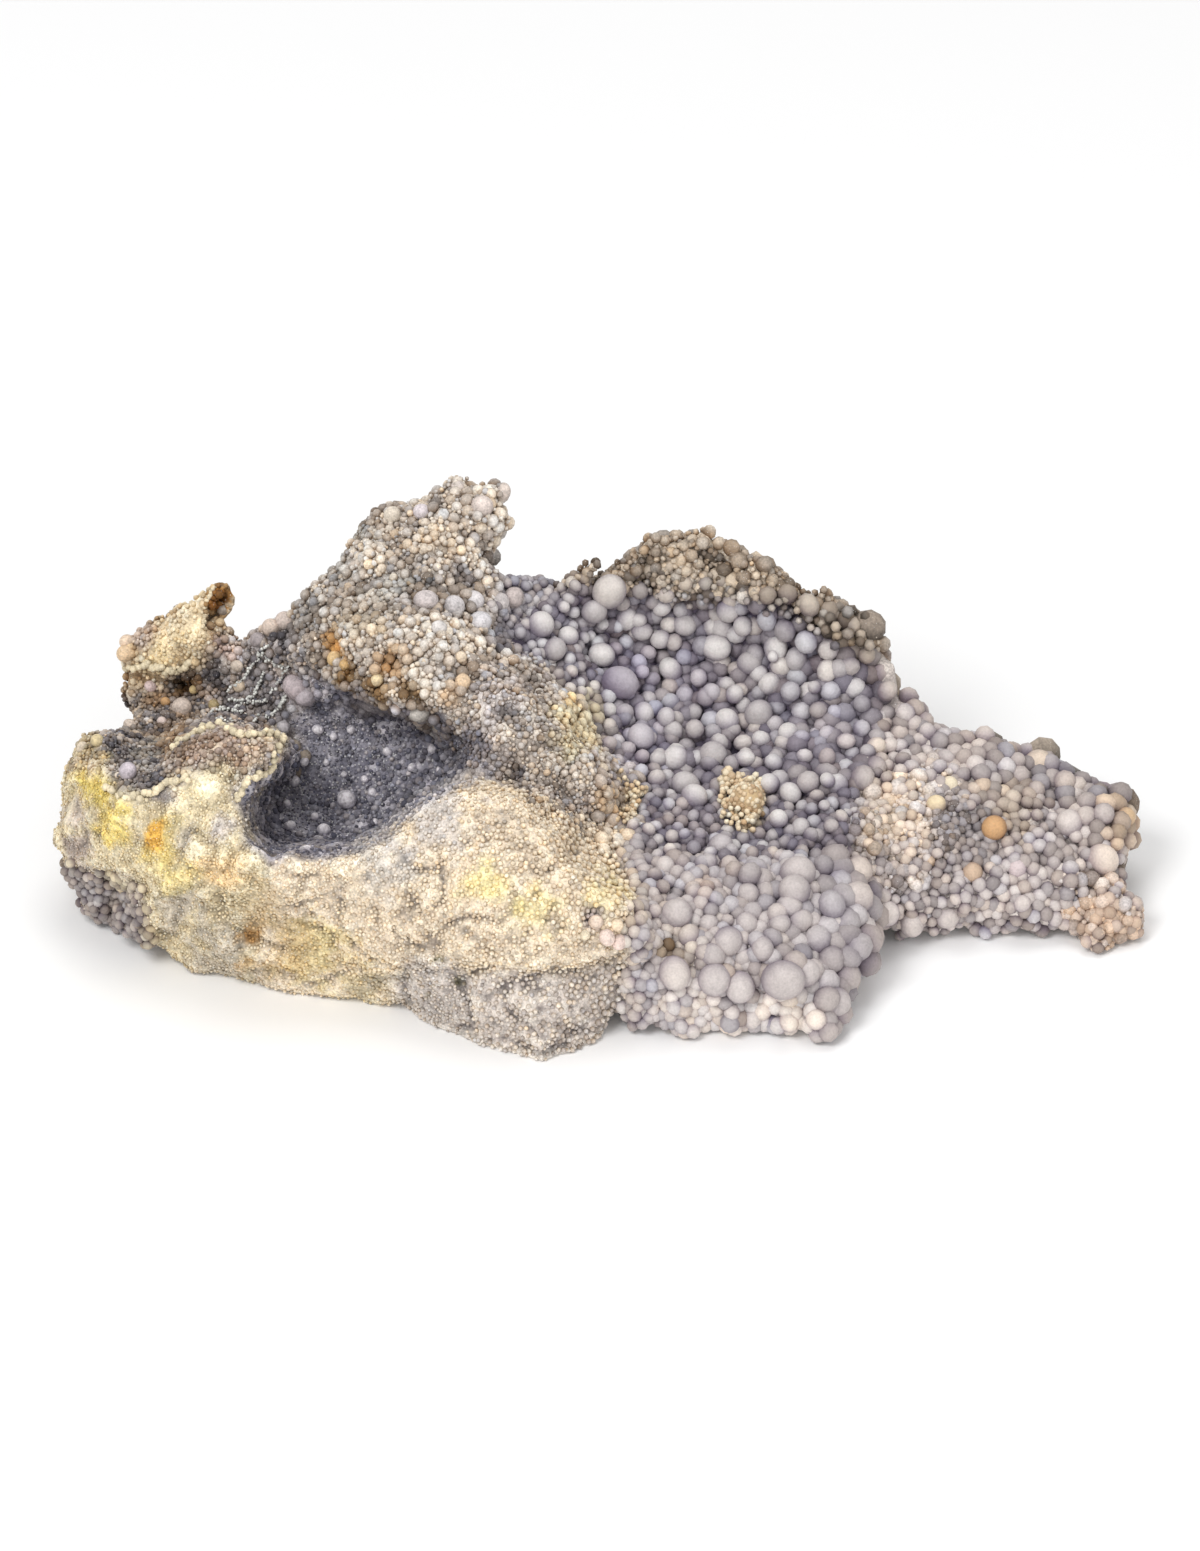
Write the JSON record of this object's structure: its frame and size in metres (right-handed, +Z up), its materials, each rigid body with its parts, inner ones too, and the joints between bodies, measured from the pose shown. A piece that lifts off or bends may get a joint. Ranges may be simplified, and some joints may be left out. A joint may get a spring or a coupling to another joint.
{
  "type": "druzy chalcedony specimen",
  "caption": "Free-standing cluster of botryoidal druzy chalcedony with a grape-lined basin, a dark crystal pocket, a granular ridge and a long tapering tongue, sawn flat underneath.",
  "frame": {"origin": "middle of the flat sawn underside, which is the bottom centre of the specimen's box", "axes": "+X to the right along the length, towards the tapering tongue; +Y to the back, towards the rear rim; +Z up from the sawn underside"},
  "size_m": [0.153, 0.0834, 0.0478],
  "materials": {
    "weathered_chalcedony": "dull sugary crust, cream to tan, lemon and orange stains on the left wall, grey-lilac grapes on the right",
    "lilac_grapes": "frosted translucent grapes, pale grey tops on lilac bases, faint druzy sparkle",
    "dark_druse": "dark slate druse with a fine glitter and small pale balls"
  },
  "bodies": {
    "root": {"chalcedony_body": "weathered_chalcedony", "basin_crust": "lilac_grapes", "pocket_crust": "dark_druse"}
  },
  "joints": []
}
